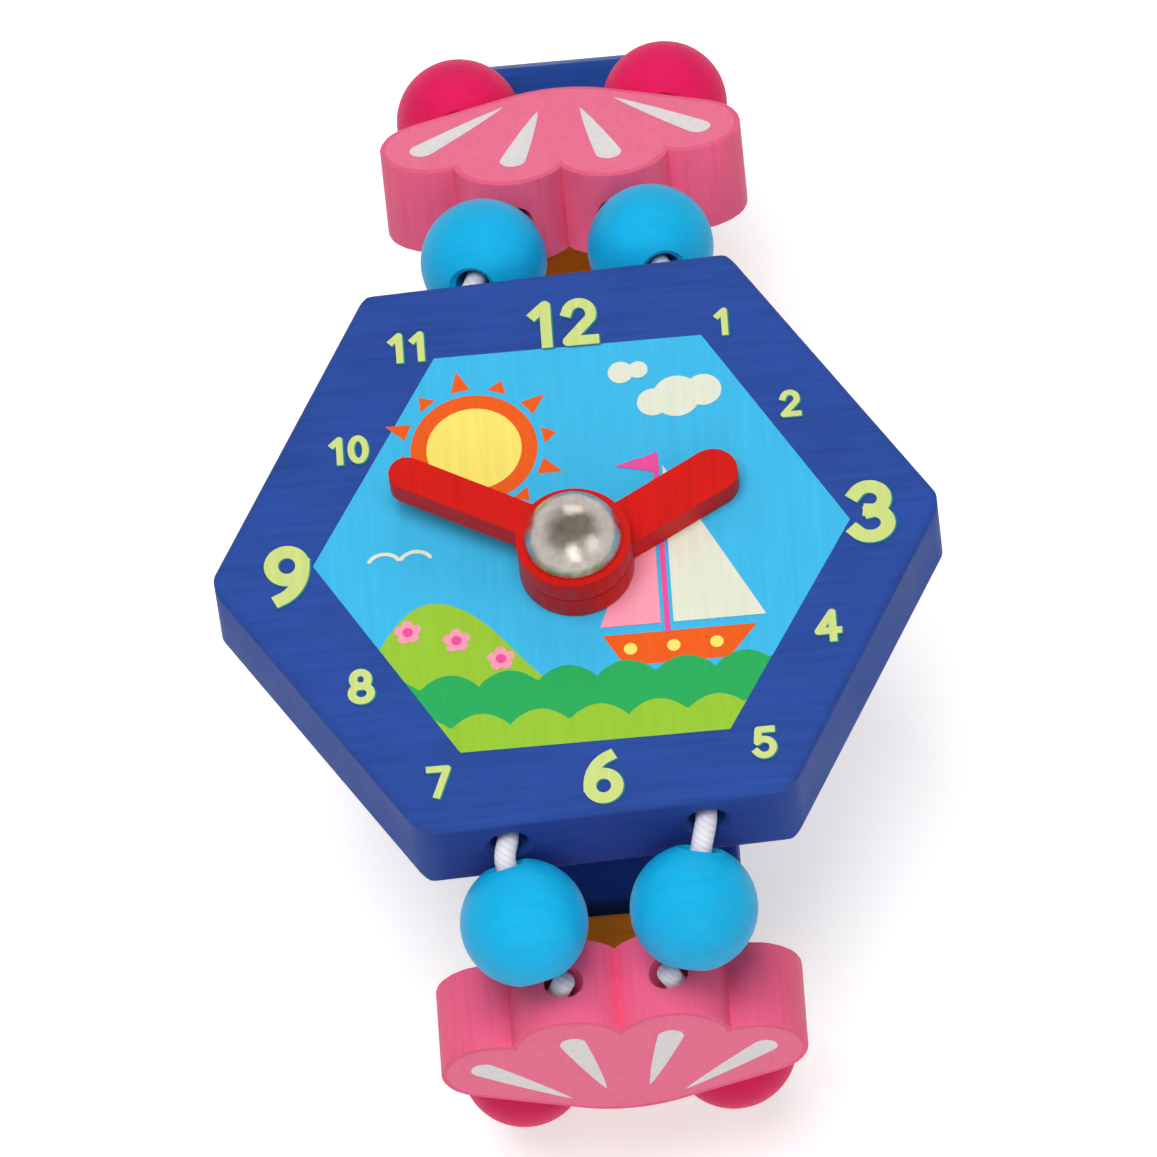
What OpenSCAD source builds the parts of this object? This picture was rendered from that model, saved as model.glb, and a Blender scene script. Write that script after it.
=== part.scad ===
// Wooden toy watch: a hexagonal face with two turning hands on a strap of beads, shell plates
// and bars, threaded on two elastic cords. It lies closed, with the strap folded under the face.
// X runs across the strap, +Y toward 12 o'clock, and Z is up, with zero on the surface it rests on.

/* [Face] */
// Width of the face across two opposite flats
face_flats = 40; // [34:0.5:50]
// Thickness of the face
face_t = 6.4; // [5.6:0.1:9]
// Radius of the face's six upright corners
face_corner_r = 2.2; // [1:0.1:5]
// Rounding of the face's upper and lower rims
face_rim_r = 0.6; // [0.2:0.1:1.2]
// Depth of the cord bores below the top of the face
face_bore_depth = 2.8; // [2.6:0.1:4]
// Distance of each cord bore from the middle of the face
face_bore_x = 6.2; // [5:0.1:9]
// Turn of the face on the strap, counter-clockwise in degrees
face_turn = 2; // [-3:0.5:3]

/* [Hands] */
// Distance from the middle of the face to the pin, toward 6 o'clock
pin_offset = 2.1; // [0:0.1:4]
// Diameter of the pin's shank
pin_d = 1.8; // [1.2:0.1:2.6]
// Depth of the pin in the face
pin_seat = 4.6; // [3:0.1:5.4]
// Diameter of the pin's domed head
dome_d = 6.2; // [4.5:0.1:7.5]
// Height of the pin's domed head
dome_h = 2.5; // [1.5:0.1:3]
// Diameter of the round hub of each hand
hub_d = 7.2; // [5.5:0.1:9]
// Thickness of each hand
hand_t = 1.7; // [1.2:0.1:2.5]
// Length of the minute hand from the pin to its tip
minute_l = 12.8; // [9:0.1:15]
// Width of the minute hand
minute_w = 2.3; // [1.6:0.1:4]
// Direction of the minute hand, counter-clockwise from 3 o'clock
minute_angle = 150; // [0:1:359]
// Length of the hour hand from the pin to its tip
hour_l = 11.9; // [8:0.1:14]
// Width of the hour hand
hour_w = 3.2; // [2:0.1:5]
// Direction of the hour hand, counter-clockwise from 3 o'clock
hour_angle = 30; // [0:1:359]

/* [Beads] */
// Diameter of every bead
bead_d = 8; // [6.5:0.1:9.5]
// Distance of the sky-blue beads from the strap's middle line
sky_x = 5.3; // [5:0.1:7]
// Distance of the crimson beads from the strap's middle line
crimson_x = 6.6; // [5.5:0.1:8]

/* [Shells] */
// Width of a shell plate across the strap
shell_w = 23; // [20:0.5:28]
// Height of a shell plate along the strap
shell_h = 12.4; // [11:0.1:15]
// Thickness of a shell plate
shell_t = 5.8; // [4.6:0.1:8]
// Radius of the two inner lobes of the scalloped edge, as a share of the plate's width
lobe_share = 0.1652; // [0.15:0.0002:0.19]
// Distance of the inner lobes from the plate's middle, as a share of its width
lobe_x_share = 0.1391; // [0.125:0.0001:0.155]
// Radius of the two outer lobes, which also round the plate's ends, as a share of its width
end_share = 0.1478; // [0.13:0.0002:0.16]
// How far the outer lobes stand back from the inner ones
end_set = 2.5; // [1.5:0.1:3.2]
// Radius of the plain edge's middle, as a share of the plate's width
apex_share = 0.3478; // [0.29:0.0002:0.41]

/* [Bars] */
// Length of a bar along the strap
bar_l = 8; // [6.5:0.1:10]
// Width of a bar across the strap
bar_w = 16; // [15:0.5:20]
// Thickness of a bar
bar_t = 6; // [4.6:0.1:7.5]
// Corner radius of a bar seen from above
bar_corner_r = 1.2; // [0.6:0.1:2]
// Rounding of a bar's rims
bar_rim_r = 0.6; // [0.2:0.1:1.2]
// Gap between neighbouring bars
bar_gap = 1; // [0.5:0.1:2.5]
// Distance of each cord bore from the middle of a bar
bar_bore_x = 5.7; // [5:0.1:6]

/* [Elastic] */
// Diameter of the elastic cord
cord_d = 1.35; // [1:0.05:1.7]
// Diameter of the bores that the cord runs through
bore_d = 2.3; // [2:0.1:2.8]
// Diameter of the knot in each cord
knot_d = 3; // [2.6:0.1:3.4]

/* [Lie of the strap] */
// Slope of the strap below the face on the 6 o'clock side
lower_tilt = 93.5; // [80:0.5:100]
// Slope of the strap below the face on the 12 o'clock side
upper_tilt = 28.5; // [20:0.5:45]
// Slope of the bar next to the 12 o'clock crimson beads
turn_tilt = 55; // [45:1:70]
// Drop from the top of the face to the sky-blue beads' middle
bead_drop = 5.1; // [4:0.1:6.5]
// Drop from the 6 o'clock crimson beads to the middle of the flat bars
run_drop = 5; // [4.5:0.1:6]
// Sideways shift of the 6 o'clock side of the strap
lower_shift = 0.3; // [-1.5:0.1:1.5]
// Sideways shift of the 12 o'clock side of the strap
upper_shift = 0.6; // [-1.5:0.1:1.5]

/* [Hidden] */
$fn = 64;
// Clearances: between pieces on the strap, on the pin, and under each hand
piece_gap = 0.3;
pin_gap = 0.06;
hand_gap = 0.1;
// Overrun of every cut
overrun = 1;
// Depth of the countersink at a bore's mouth
mouth_depth = 0.35;
// Outward set of each shell from the line between its beads
lower_bulge = 2.2;
upper_bulge = 0.3;
// Slopes of the bead bores, and their lean toward the middle of the strap
sky_lower_tilt = 38;
sky_upper_tilt = 30;
crimson_lower_tilt = 110;
crimson_upper_tilt = 45;
sky_lean = 12;
// Steps in each arc of a shell's outline
arc_steps = 14;
// Elastic: sides of the swept cord and rings in each bend
cord_sides = 8;
bend_rings = 7;
// Depth inside the face at which a bend of the elastic ends
cord_lead = 1;
// Reach of each bend's tangents, as a share of the bend's span, and of the wide turn's
bend_share = 1.1;
turn_share = 2.2;
// Knot pocket in the middle bar: room round the knot, and its place along the bar
knot_room = 0.25;
flat_bars = 7;
rest_bar = 3;

face_blue = [0.16, 0.28, 0.62];
sky_blue = [0.02, 0.66, 0.90];
crimson = [0.90, 0.10, 0.36];
shell_pink = [0.93, 0.42, 0.58];
bar_orange = [0.95, 0.58, 0.12];
hand_red = [0.80, 0.08, 0.07];
nickel = [0.66, 0.64, 0.61];
elastic_white = [0.88, 0.86, 0.92];

bead_r = bead_d / 2;
bore_r = bore_d / 2;
cord_r = cord_d / 2;
mouth_r = bore_r + mouth_depth;
bead_reach = bead_r + piece_gap;
pole = sqrt(bead_r * bead_r - mouth_r * mouth_r);

// Directions down the strap in [y, z], and the outward side of each run
function down_6(tilt) = [-cos(tilt), -sin(tilt)];
function down_12(tilt) = [cos(tilt), -sin(tilt)];
function out_6(tilt) = [-sin(tilt), cos(tilt)];
function out_12(tilt) = [sin(tilt), cos(tilt)];

// Shell outline: its circles, and the straight flank between apex and end circle
lobe_r = lobe_share * shell_w;
lobe_x = lobe_x_share * shell_w;
end_r = end_share * shell_w;
apex_r = apex_share * shell_w;
lobe_centre = [lobe_x, lobe_r - shell_h / 2];
end_centre = [shell_w / 2 - end_r, end_set + end_r - shell_h / 2];
apex_centre = [0, shell_h / 2 - apex_r];
flank_span = end_centre - apex_centre;
flank_angle = atan2(flank_span.y, flank_span.x) + acos((apex_r - end_r) / norm(flank_span));
flank = [cos(flank_angle), sin(flank_angle)];

// Distance from a shell's middle to the beads on each side of it
sky_reach = -lobe_centre.y + sqrt(pow(bead_reach + lobe_r, 2) - pow(sky_x - lobe_x, 2));
crimson_reach = (flank * apex_centre + apex_r + bead_reach - flank.x * crimson_x) / flank.y;
link = sky_reach + crimson_reach;

// Middles of the bead rows and shells in [y, z], from the top middle of the face
sky_row = face_flats / 2 + bead_reach + sky_x * sin(abs(face_turn));
sky_6 = [-sky_row, -bead_drop];
sky_12 = [sky_row, -bead_drop];
crimson_6 = sky_6 + link * down_6(lower_tilt);
crimson_12 = sky_12 + link * down_12(upper_tilt);
shell_6_mid = sky_6 + sky_reach * down_6(lower_tilt) + lower_bulge * out_6(lower_tilt);
shell_12_mid = sky_12 + sky_reach * down_12(upper_tilt) + upper_bulge * out_12(upper_tilt);

// The sloping bar after the 12 o'clock crimson beads, and the corner that hangs lowest
turn_start = crimson_12 + bead_reach * down_12(turn_tilt);
turn_mid = turn_start + bar_l / 2 * down_12(turn_tilt);
turn_end = turn_start + bar_l * down_12(turn_tilt);
turn_corner = turn_end - bar_t / 2 * out_12(turn_tilt);

// The flat run of bars: where it reaches under the sloping bar it lies clear below it
bar_step = bar_l + bar_gap;
run_l = flat_bars * bar_step - bar_gap;
function run_start(z) =
    crimson_6.x + sqrt(max(0, pow(bead_reach, 2) - pow(max(0, crimson_6.y - z - bar_t / 2), 2)));
run_high = crimson_6.y - run_drop;
run_low = min(run_high, turn_corner.y - piece_gap - bar_t / 2);
run_reaches = run_start(run_high) + run_l > turn_corner.x - piece_gap;
run_z = run_reaches ? run_low : run_high;
run_y = run_start(run_z);
floor_z = run_z - bar_t / 2;
function flat_y(i) = run_y + bar_l / 2 + i * bar_step;
origin = [flat_y(rest_bar), floor_z];

// Moves a piece from the face's frame to the part's own
module placed(mid, x = 0) {
    translate([x, mid.x - origin.x, mid.y - origin.y]) children();
}

// Turns a piece about X so that its +Y runs along a direction in [y, z]
module along(direction) {
    rotate([atan2(direction.y, direction.x), 0, 0]) children();
}

module rounded_rect(w, h, r) {
    square([w - 2 * r, h], center = true);
    square([w, h - 2 * r], center = true);
    for (x = [-1, 1], y = [-1, 1])
        translate([x * (w / 2 - r), y * (h / 2 - r)]) circle(r);
}

// Hexagon with round corners, two of its flats across Y
module rounded_hexagon(flats, r) {
    corner = (flats / 2 - r) / cos(30);
    polygon([for (k = [0 : 5], side = [-30, 30])
        corner * [cos(60 * k), sin(60 * k)] + r * [cos(60 * k + side), sin(60 * k + side)]]);
    for (k = [0 : 5])
        translate(corner * [cos(60 * k), sin(60 * k)]) circle(r);
}

// A bore along Y with a countersunk mouth at each end
module cord_bore(length) {
    rotate([90, 0, 0]) cylinder(r = bore_r, h = length + 2 * overrun, center = true);
    for (end = [-1, 1])
        translate([0, end * length / 2, 0]) rotate([-end * 90, 0, 0])
            translate([0, 0, -mouth_depth])
                cylinder(r1 = bore_r, r2 = bore_r + mouth_depth + overrun, h = mouth_depth + overrun);
}

module clock_face() {
    across = 2 * face_flats;
    color(face_blue) placed([0, -face_t / 2]) difference() {
        rotate([0, 0, face_turn]) difference() {
            intersection() {
                linear_extrude(face_t, center = true) rounded_hexagon(face_flats, face_corner_r);
                intersection_for (turn = [0, 60, 120])
                    rotate([90, 0, 90 + turn]) linear_extrude(across, center = true)
                        rounded_rect(face_flats, face_t, face_rim_r);
            }
            for (side = [-1, 1])
                translate([side * face_bore_x, 0, face_t / 2 - face_bore_depth]) cord_bore(face_flats);
        }
        translate([0, -pin_offset, face_t / 2 - pin_seat]) cylinder(d = pin_d, h = pin_seat + overrun);
    }
}

stack_h = 2 * (hand_t + hand_gap) + hand_gap;
dome_r = (pow(dome_d / 2, 2) + pow(dome_h, 2)) / (2 * dome_h);

module centre_pin() {
    color(nickel) placed([-pin_offset, 0]) {
        translate([0, 0, -pin_seat]) cylinder(d = pin_d, h = pin_seat + stack_h + dome_h / 2);
        translate([0, 0, stack_h]) intersection() {
            translate([0, 0, dome_h - dome_r]) sphere(dome_r);
            cylinder(d = dome_d, h = dome_h);
        }
    }
}

// One hand: a round hub on the pin and a finger with a round tip, its underside at z
module hand(length, width, angle, z) {
    color(hand_red) placed([-pin_offset, z]) rotate([0, 0, angle]) linear_extrude(hand_t)
        difference() {
            union() {
                circle(d = hub_d);
                translate([0, -width / 2]) square([length - width / 2, width]);
                translate([length - width / 2, 0]) circle(d = width);
            }
            circle(d = pin_d + 2 * pin_gap);
        }
}

module hour_hand() { hand(hour_l, hour_w, hour_angle, hand_gap); }
module minute_hand() { hand(minute_l, minute_w, minute_angle, hand_t + 2 * hand_gap); }

// Bore directions in [x, y, z]: side is -1 on the left and 1 on the right
function lean(side, down, angle) = [-side * sin(angle), cos(angle) * down.x, cos(angle) * down.y];
function sky_axis_6(side) = lean(side, down_6(sky_lower_tilt), sky_lean);
function sky_axis_12(side) = lean(side, down_12(sky_upper_tilt), sky_lean);
function crimson_axis_6(side) = lean(side, down_6(crimson_lower_tilt), 0);
function crimson_axis_12(side) = lean(side, down_12(crimson_upper_tilt), 0);

// A turned bead with its bore along an axis
module bead(mid, x, axis, paint) {
    color(paint) placed(mid, x) rotate([0, acos(axis.z), atan2(axis.y, axis.x)]) difference() {
        sphere(bead_r);
        cylinder(r = bore_r, h = bead_d + overrun, center = true);
        for (end = [0, 180])
            rotate([end, 0, 0]) translate([0, 0, pole - mouth_depth])
                cylinder(r1 = bore_r, r2 = mouth_r + bead_r - pole, h = mouth_depth + bead_r - pole);
    }
}

sky_6_x = [for (side = [-1, 1]) side * sky_x + lower_shift];
sky_12_x = [for (side = [-1, 1]) side * sky_x + upper_shift];
crimson_6_x = [for (side = [-1, 1]) side * crimson_x + lower_shift];
crimson_12_x = [for (side = [-1, 1]) side * crimson_x + upper_shift];

module sky_bead_6(i) { bead(sky_6, sky_6_x[i], sky_axis_6(2 * i - 1), sky_blue); }
module sky_bead_12(i) { bead(sky_12, sky_12_x[i], sky_axis_12(2 * i - 1), sky_blue); }
module crimson_bead_6(i) { bead(crimson_6, crimson_6_x[i], crimson_axis_6(2 * i - 1), crimson); }
module crimson_bead_12(i) { bead(crimson_12, crimson_12_x[i], crimson_axis_12(2 * i - 1), crimson); }

// Where the inner and the outer lobe of a shell meet, as an angle on each
lobe_span = end_centre - lobe_centre;
lobe_meet = (lobe_r * lobe_r - end_r * end_r + lobe_span * lobe_span) / (2 * norm(lobe_span));
lobe_cusp = atan2(lobe_span.y, lobe_span.x) - acos(lobe_meet / lobe_r);
end_cusp = atan2(lobe_span.y, lobe_span.x) - 180 + acos((norm(lobe_span) - lobe_meet) / end_r);

function arc(centre, r, from, to, first = 0) =
    [for (k = [first : arc_steps])
        let (a = from + (to - from) * k / arc_steps)
        centre + r * [cos(a), sin(a)]];

// Scallop-shell outline: four lobes toward -Y, two straight flanks and a round middle toward +Y
module shell_outline() {
    right = concat(
        arc(lobe_centre, lobe_r, acos(lobe_x / lobe_r) - 180, lobe_cusp),
        arc(end_centre, end_r, end_cusp, flank_angle, 1),
        arc(apex_centre, apex_r, flank_angle, 90)
    );
    left = [for (k = [len(right) - 2 : -1 : 1]) [-right[k].x, right[k].y]];
    polygon(concat(right, left));
}

// Ends of a shell's cord bore in its own plane: inner lobe to the crimson bead's flank
flank_y = (flank * apex_centre + apex_r - flank.x * crimson_x) / flank.y;
function shell_in(side) = [side * lobe_x, -shell_h / 2];
function shell_out(side) = [side * crimson_x, flank_y];

// A rod between a shell's two bore mouths, lengthened at both ends
module shell_rod(side, d, extra) {
    span = shell_out(side) - shell_in(side);
    translate(shell_in(side)) rotate([0, 0, atan2(span.y, span.x)]) translate([-extra, 0, 0])
        rotate([0, 90, 0]) cylinder(d = d, h = norm(span) + 2 * extra);
}

module shell_plate() {
    color(shell_pink) difference() {
        linear_extrude(shell_t, center = true) shell_outline();
        for (side = [-1, 1]) shell_rod(side, bore_d, 2 * overrun);
    }
}

module shell_cords() {
    color(elastic_white) for (side = [-1, 1]) shell_rod(side, cord_d, 0);
}

// The 6 o'clock side is the 12 o'clock side turned half round the face
module at_shell_6() {
    placed(shell_6_mid, lower_shift) mirror([0, 1, 0]) along([cos(lower_tilt), -sin(lower_tilt)]) children();
}
module at_shell_12() {
    placed(shell_12_mid, upper_shift) along(down_12(upper_tilt)) children();
}
module shell_6() { at_shell_6() shell_plate(); }
module shell_12() { at_shell_12() shell_plate(); }
module shell_6_cords() { at_shell_6() shell_cords(); }
module shell_12_cords() { at_shell_12() shell_cords(); }

// Knot pocket: a wider bore at the +Y mouth of the middle bar
pocket_d = knot_d + 2 * knot_room;
pocket_depth = knot_d + knot_room;

module bar(paint, pocket = false) {
    color(paint) difference() {
        intersection() {
            linear_extrude(bar_t, center = true) rounded_rect(bar_w, bar_l, bar_corner_r);
            rotate([90, 0, 90]) linear_extrude(bar_w, center = true) rounded_rect(bar_l, bar_t, bar_rim_r);
            rotate([90, 0, 0]) linear_extrude(bar_l, center = true) rounded_rect(bar_w, bar_t, bar_rim_r);
        }
        for (side = [-1, 1]) translate([side * bar_bore_x, 0, 0]) {
            cord_bore(bar_l);
            if (pocket)
                translate([0, bar_l / 2 - pocket_depth, 0]) rotate([-90, 0, 0])
                    cylinder(d = pocket_d, h = pocket_depth + overrun);
        }
    }
}

module turn_bar() { placed(turn_mid, upper_shift) along(down_12(turn_tilt)) bar(face_blue); }

module back_bar(i) {
    placed([flat_y(i), run_z]) bar(i % 2 == 0 ? bar_orange : face_blue, i == rest_bar);
}

// Knots: each lies round its cord in the middle bar's pocket
module cord_knots() {
    knot_y = flat_y(rest_bar) + bar_l / 2 - knot_d / 2;
    color(elastic_white) for (side = [-1, 1])
        placed([knot_y, run_z], side * bar_bore_x) difference() {
            sphere(d = knot_d);
            rotate([90, 0, 0]) cylinder(d = cord_d, h = knot_d + overrun, center = true);
        }
}

// Points of a smooth bend from p to q with unit tangents, ends left out
function bend(p, along_p, q, along_q, share) =
    let (reach = share * norm(q - p))
    [for (k = [1 : bend_rings - 1])
        let (t = k / bend_rings, t2 = t * t, t3 = t2 * t)
        (2 * t3 - 3 * t2 + 1) * p + (t3 - 2 * t2 + t) * reach * along_p
            + (3 * t2 - 2 * t3) * q + (t3 - t2) * reach * along_q];

// A tube of cord_sides sides swept along points
module cord(points) {
    last = len(points) - 1;
    function tangent(i) = let (d = points[min(i + 1, last)] - points[max(i - 1, 0)]) d / norm(d);
    function ring(i) =
        let (t = tangent(i), a = cross(t, [1, 0, 0]), u = a / norm(a), v = cross(t, u))
        [for (k = [0 : cord_sides - 1])
            points[i] + cord_r * (cos(360 * k / cord_sides) * u + sin(360 * k / cord_sides) * v)];
    rings = [for (i = [0 : last]) each ring(i)];
    sides = [for (i = [0 : last - 1], k = [0 : cord_sides - 1])
        let (n = (k + 1) % cord_sides, a = i * cord_sides, b = a + cord_sides)
        each [[a + k, b + k, b + n], [a + k, b + n, a + n]]];
    start_cap = [[for (k = [0 : cord_sides - 1]) k]];
    end_cap = [[for (k = [cord_sides - 1 : -1 : 0]) last * cord_sides + k]];
    color(elastic_white) translate([0, -origin.x, -origin.y])
        polyhedron(points = rings, faces = concat(sides, start_cap, end_cap), convexity = 4);
}

function point(x, mid) = [x, mid.x, mid.y];
function flat3(direction) = [0, direction.x, direction.y];

// Through the face from the 6 o'clock sky-blue bead to the 12 o'clock one
module face_cord(i) {
    side = 2 * i - 1;
    axis_6 = sky_axis_6(side);
    axis_12 = sky_axis_12(side);
    bead_6 = point(sky_6_x[i], sky_6);
    bead_12 = point(sky_12_x[i], sky_12);
    bore_mid = [side * face_bore_x * cos(face_turn), side * face_bore_x * sin(face_turn), -face_bore_depth];
    ahead = [-sin(face_turn), cos(face_turn), 0];
    bore_half = face_flats / 2 - cord_lead;
    mouth_6 = bore_mid - bore_half * ahead;
    mouth_12 = bore_mid + bore_half * ahead;
    cord(concat(
        [bead_6 + pole * axis_6, bead_6 - pole * axis_6],
        bend(bead_6 - pole * axis_6, -axis_6, mouth_6, ahead, bend_share),
        [mouth_6, mouth_12],
        bend(mouth_12, ahead, bead_12 - pole * axis_12, axis_12, bend_share),
        [bead_12 - pole * axis_12, bead_12 + pole * axis_12]
    ));
}

// From the 12 o'clock crimson bead through all the bars to the 6 o'clock crimson bead
module back_cord(i) {
    side = 2 * i - 1;
    axis_6 = crimson_axis_6(side);
    axis_12 = crimson_axis_12(side);
    bead_6 = point(crimson_6_x[i], crimson_6);
    bead_12 = point(crimson_12_x[i], crimson_12);
    turn = flat3(down_12(turn_tilt));
    turn_in = point(side * bar_bore_x + upper_shift, turn_start);
    turn_out = point(side * bar_bore_x + upper_shift, turn_end);
    run_in = [side * bar_bore_x, run_y + run_l, run_z];
    run_out = [side * bar_bore_x, run_y, run_z];
    cord(concat(
        [bead_12 - pole * axis_12, bead_12 + pole * axis_12],
        bend(bead_12 + pole * axis_12, axis_12, turn_in, turn, bend_share),
        [turn_in, turn_out],
        bend(turn_out, turn, run_in, [0, -1, 0], turn_share),
        [run_in, run_out],
        bend(run_out, [0, -1, 0], bead_6 + pole * axis_6, -axis_6, bend_share),
        [bead_6 + pole * axis_6, bead_6 - pole * axis_6]
    ));
}

clock_face();
centre_pin();
hour_hand();
minute_hand();
sky_bead_6(0);  // sky_bead_6_left
sky_bead_6(1);  // sky_bead_6_right
sky_bead_12(0);  // sky_bead_12_left
sky_bead_12(1);  // sky_bead_12_right
crimson_bead_6(0);  // crimson_bead_6_left
crimson_bead_6(1);  // crimson_bead_6_right
crimson_bead_12(0);  // crimson_bead_12_left
crimson_bead_12(1);  // crimson_bead_12_right
shell_6();
shell_12();
turn_bar();
back_bar(0);  // back_bar_1
back_bar(1);  // back_bar_2
back_bar(2);  // back_bar_3
back_bar(3);  // back_bar_4
back_bar(4);  // back_bar_5
back_bar(5);  // back_bar_6
back_bar(6);  // back_bar_7
face_cord(0);  // face_cord_left
face_cord(1);  // face_cord_right
shell_6_cords();
shell_12_cords();
back_cord(0);  // back_cord_left
back_cord(1);  // back_cord_right
cord_knots();
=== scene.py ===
"""Looks of the wooden toy watch: paint, print, elastic, light and camera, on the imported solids."""

import math

import bmesh
import bpy
from mathutils import Matrix, Vector
from mathutils.geometry import delaunay_2d_cdt


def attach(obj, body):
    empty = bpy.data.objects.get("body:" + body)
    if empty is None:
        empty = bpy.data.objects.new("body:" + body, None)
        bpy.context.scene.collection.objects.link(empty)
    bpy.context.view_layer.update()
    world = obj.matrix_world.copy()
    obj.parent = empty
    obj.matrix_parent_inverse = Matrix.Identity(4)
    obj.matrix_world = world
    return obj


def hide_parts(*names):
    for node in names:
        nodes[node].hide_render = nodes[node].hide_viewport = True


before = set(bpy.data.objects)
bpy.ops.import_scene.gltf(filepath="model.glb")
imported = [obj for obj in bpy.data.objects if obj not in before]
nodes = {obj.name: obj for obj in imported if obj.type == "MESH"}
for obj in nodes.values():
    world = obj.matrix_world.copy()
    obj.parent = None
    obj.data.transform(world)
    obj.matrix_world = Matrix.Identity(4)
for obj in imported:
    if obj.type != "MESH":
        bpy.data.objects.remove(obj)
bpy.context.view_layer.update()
scene = bpy.context.scene
scene.view_settings.view_transform = "Standard"

MM = 0.001
X, Y, Z = Vector((1, 0, 0)), Vector((0, 1, 0)), Vector((0, 0, 1))

# Sizes and places of the solids, in millimetres and degrees, in the part's frame.
# Bead rows and shell middles are (y, z); each end of the strap has its own shift across.
FACE = Vector((0, -11.4795, 32.0319))
FACE_TURN = 2
FACE_BORE_X = 6.2
FACE_BORE_END = 19
FACE_BORE_DEPTH = 2.8
BEAD_R = 4.0
BORE_MOUTH_R = 1.5
PIECE_GAP = 0.3
LOWER_X = 0.3
UPPER_X = 0.6
SKY_6 = (-35.9645, 26.9319)
SKY_12 = (13.0055, 26.9319)
SKY_X = 5.3
SKY_LOWER_TILT = 38
SKY_UPPER_TILT = 30
SKY_LEAN = 12
CRIMSON_6 = (-34.8065, 8.0)
CRIMSON_12 = (29.6743, 17.8815)
CRIMSON_X = 6.6
CRIMSON_LOWER_TILT = 110
CRIMSON_UPPER_TILT = 45
TURN_TILT = 55
FLAT_BARS = 7
BAR_L = 8.0
BAR_GAP = 1.0
BAR_BORE_X = 5.7
RUN_HALF = (FLAT_BARS * (BAR_L + BAR_GAP) - BAR_GAP) / 2
RUN_Z = 3.0
SHELL_6 = (-37.5363, 16.5936)
SHELL_12 = (22.1328, 22.3175)
LOWER_TILT = 93.5
UPPER_TILT = 28.5
SHELL_H = 12.4
SHELL_T = 5.8


# Colour and nodes
def linear(rgb):
    """sRGB 0-255 to linear, with alpha."""
    out = []
    for c in rgb:
        c = c / 255
        out.append(c / 12.92 if c <= 0.04045 else ((c + 0.055) / 1.055) ** 2.4)
    return (*out, 1.0)


def shade(rgb, k):
    """A colour made darker or paler by a factor."""
    return tuple(min(255, max(0, c * k)) for c in rgb)


def even(cells):
    """The same number of cells along each axis."""
    return (cells, cells, cells)


class Nodes:
    """A material's node tree, with short calls for the nodes used here."""

    # Places of the colour sockets on a mix node
    FACTOR, FIRST, SECOND, RESULT = 0, 6, 7, 2

    def __init__(self, name, tilt=0.0):
        self.mat = bpy.data.materials.new(name)
        self.mat.use_nodes = True
        self.tree = self.mat.node_tree
        self.bsdf = self.tree.nodes["Principled BSDF"]
        coords = self.tree.nodes.new("ShaderNodeTexCoord")
        self.place = coords.outputs["Object"]
        self.tilt = tilt

    def link(self, a, b):
        """Joins an output to an input."""
        self.tree.links.new(a, b)

    def set(self, socket, value):
        """Gives the surface shader a fixed value."""
        self.bsdf.inputs[socket].default_value = value

    def noise(self, cells, detail=3.0, rough=0.55):
        """Noise of so many cells to the metre along each axis, tilted about X."""
        mapping = self.tree.nodes.new("ShaderNodeMapping")
        mapping.vector_type = "TEXTURE"
        mapping.inputs["Rotation"].default_value = (math.radians(self.tilt), 0, 0)
        mapping.inputs["Scale"].default_value = [1 / c for c in cells]
        self.link(self.place, mapping.inputs["Vector"])
        tex = self.tree.nodes.new("ShaderNodeTexNoise")
        tex.inputs["Scale"].default_value = 1.0
        tex.inputs["Detail"].default_value = detail
        tex.inputs["Roughness"].default_value = rough
        self.link(mapping.outputs["Vector"], tex.inputs["Vector"])
        return tex.outputs["Fac"]

    def ramp(self, fac, stops):
        """Colour ramp: stops are (position, sRGB)."""
        node = self.tree.nodes.new("ShaderNodeValToRGB")
        self.link(fac, node.inputs["Fac"])
        elements = node.color_ramp.elements
        while len(elements) < len(stops):
            elements.new(0.5)
        for e, (pos, rgb) in zip(elements, stops):
            e.position = pos
            e.color = linear(rgb)
        return node.outputs["Color"]

    def span(self, fac, low, high, a=0.3, b=0.7):
        """Maps a value from a..b to low..high."""
        node = self.tree.nodes.new("ShaderNodeMapRange")
        self.link(fac, node.inputs["Value"])
        node.inputs["From Min"].default_value = a
        node.inputs["From Max"].default_value = b
        node.inputs["To Min"].default_value = low
        node.inputs["To Max"].default_value = high
        return node.outputs["Result"]

    def mix(self, share, a, b):
        """Mixes two colours, with a share of the second."""
        node = self.tree.nodes.new("ShaderNodeMix")
        node.data_type = "RGBA"
        node.inputs[self.FACTOR].default_value = share
        self.link(a, node.inputs[self.FIRST])
        self.link(b, node.inputs[self.SECOND])
        return node.outputs[self.RESULT]

    def bump(self, heights):
        """Chains bumps: heights are (value socket, strength, distance in millimetres)."""
        normal = None
        for value, strength, distance in heights:
            node = self.tree.nodes.new("ShaderNodeBump")
            node.inputs["Strength"].default_value = strength
            node.inputs["Distance"].default_value = distance * MM
            self.link(value, node.inputs["Height"])
            if normal is not None:
                self.link(normal, node.inputs["Normal"])
            normal = node.outputs["Normal"]
        self.link(normal, self.bsdf.inputs["Normal"])


# Cells to the metre of the wood's grain, across and along it
GRAIN_ACROSS = 2600.0
GRAIN_ALONG = 130.0
GRAIN_SHARE = 0.40
INK_GRAIN_ACROSS = 2400.0


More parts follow.
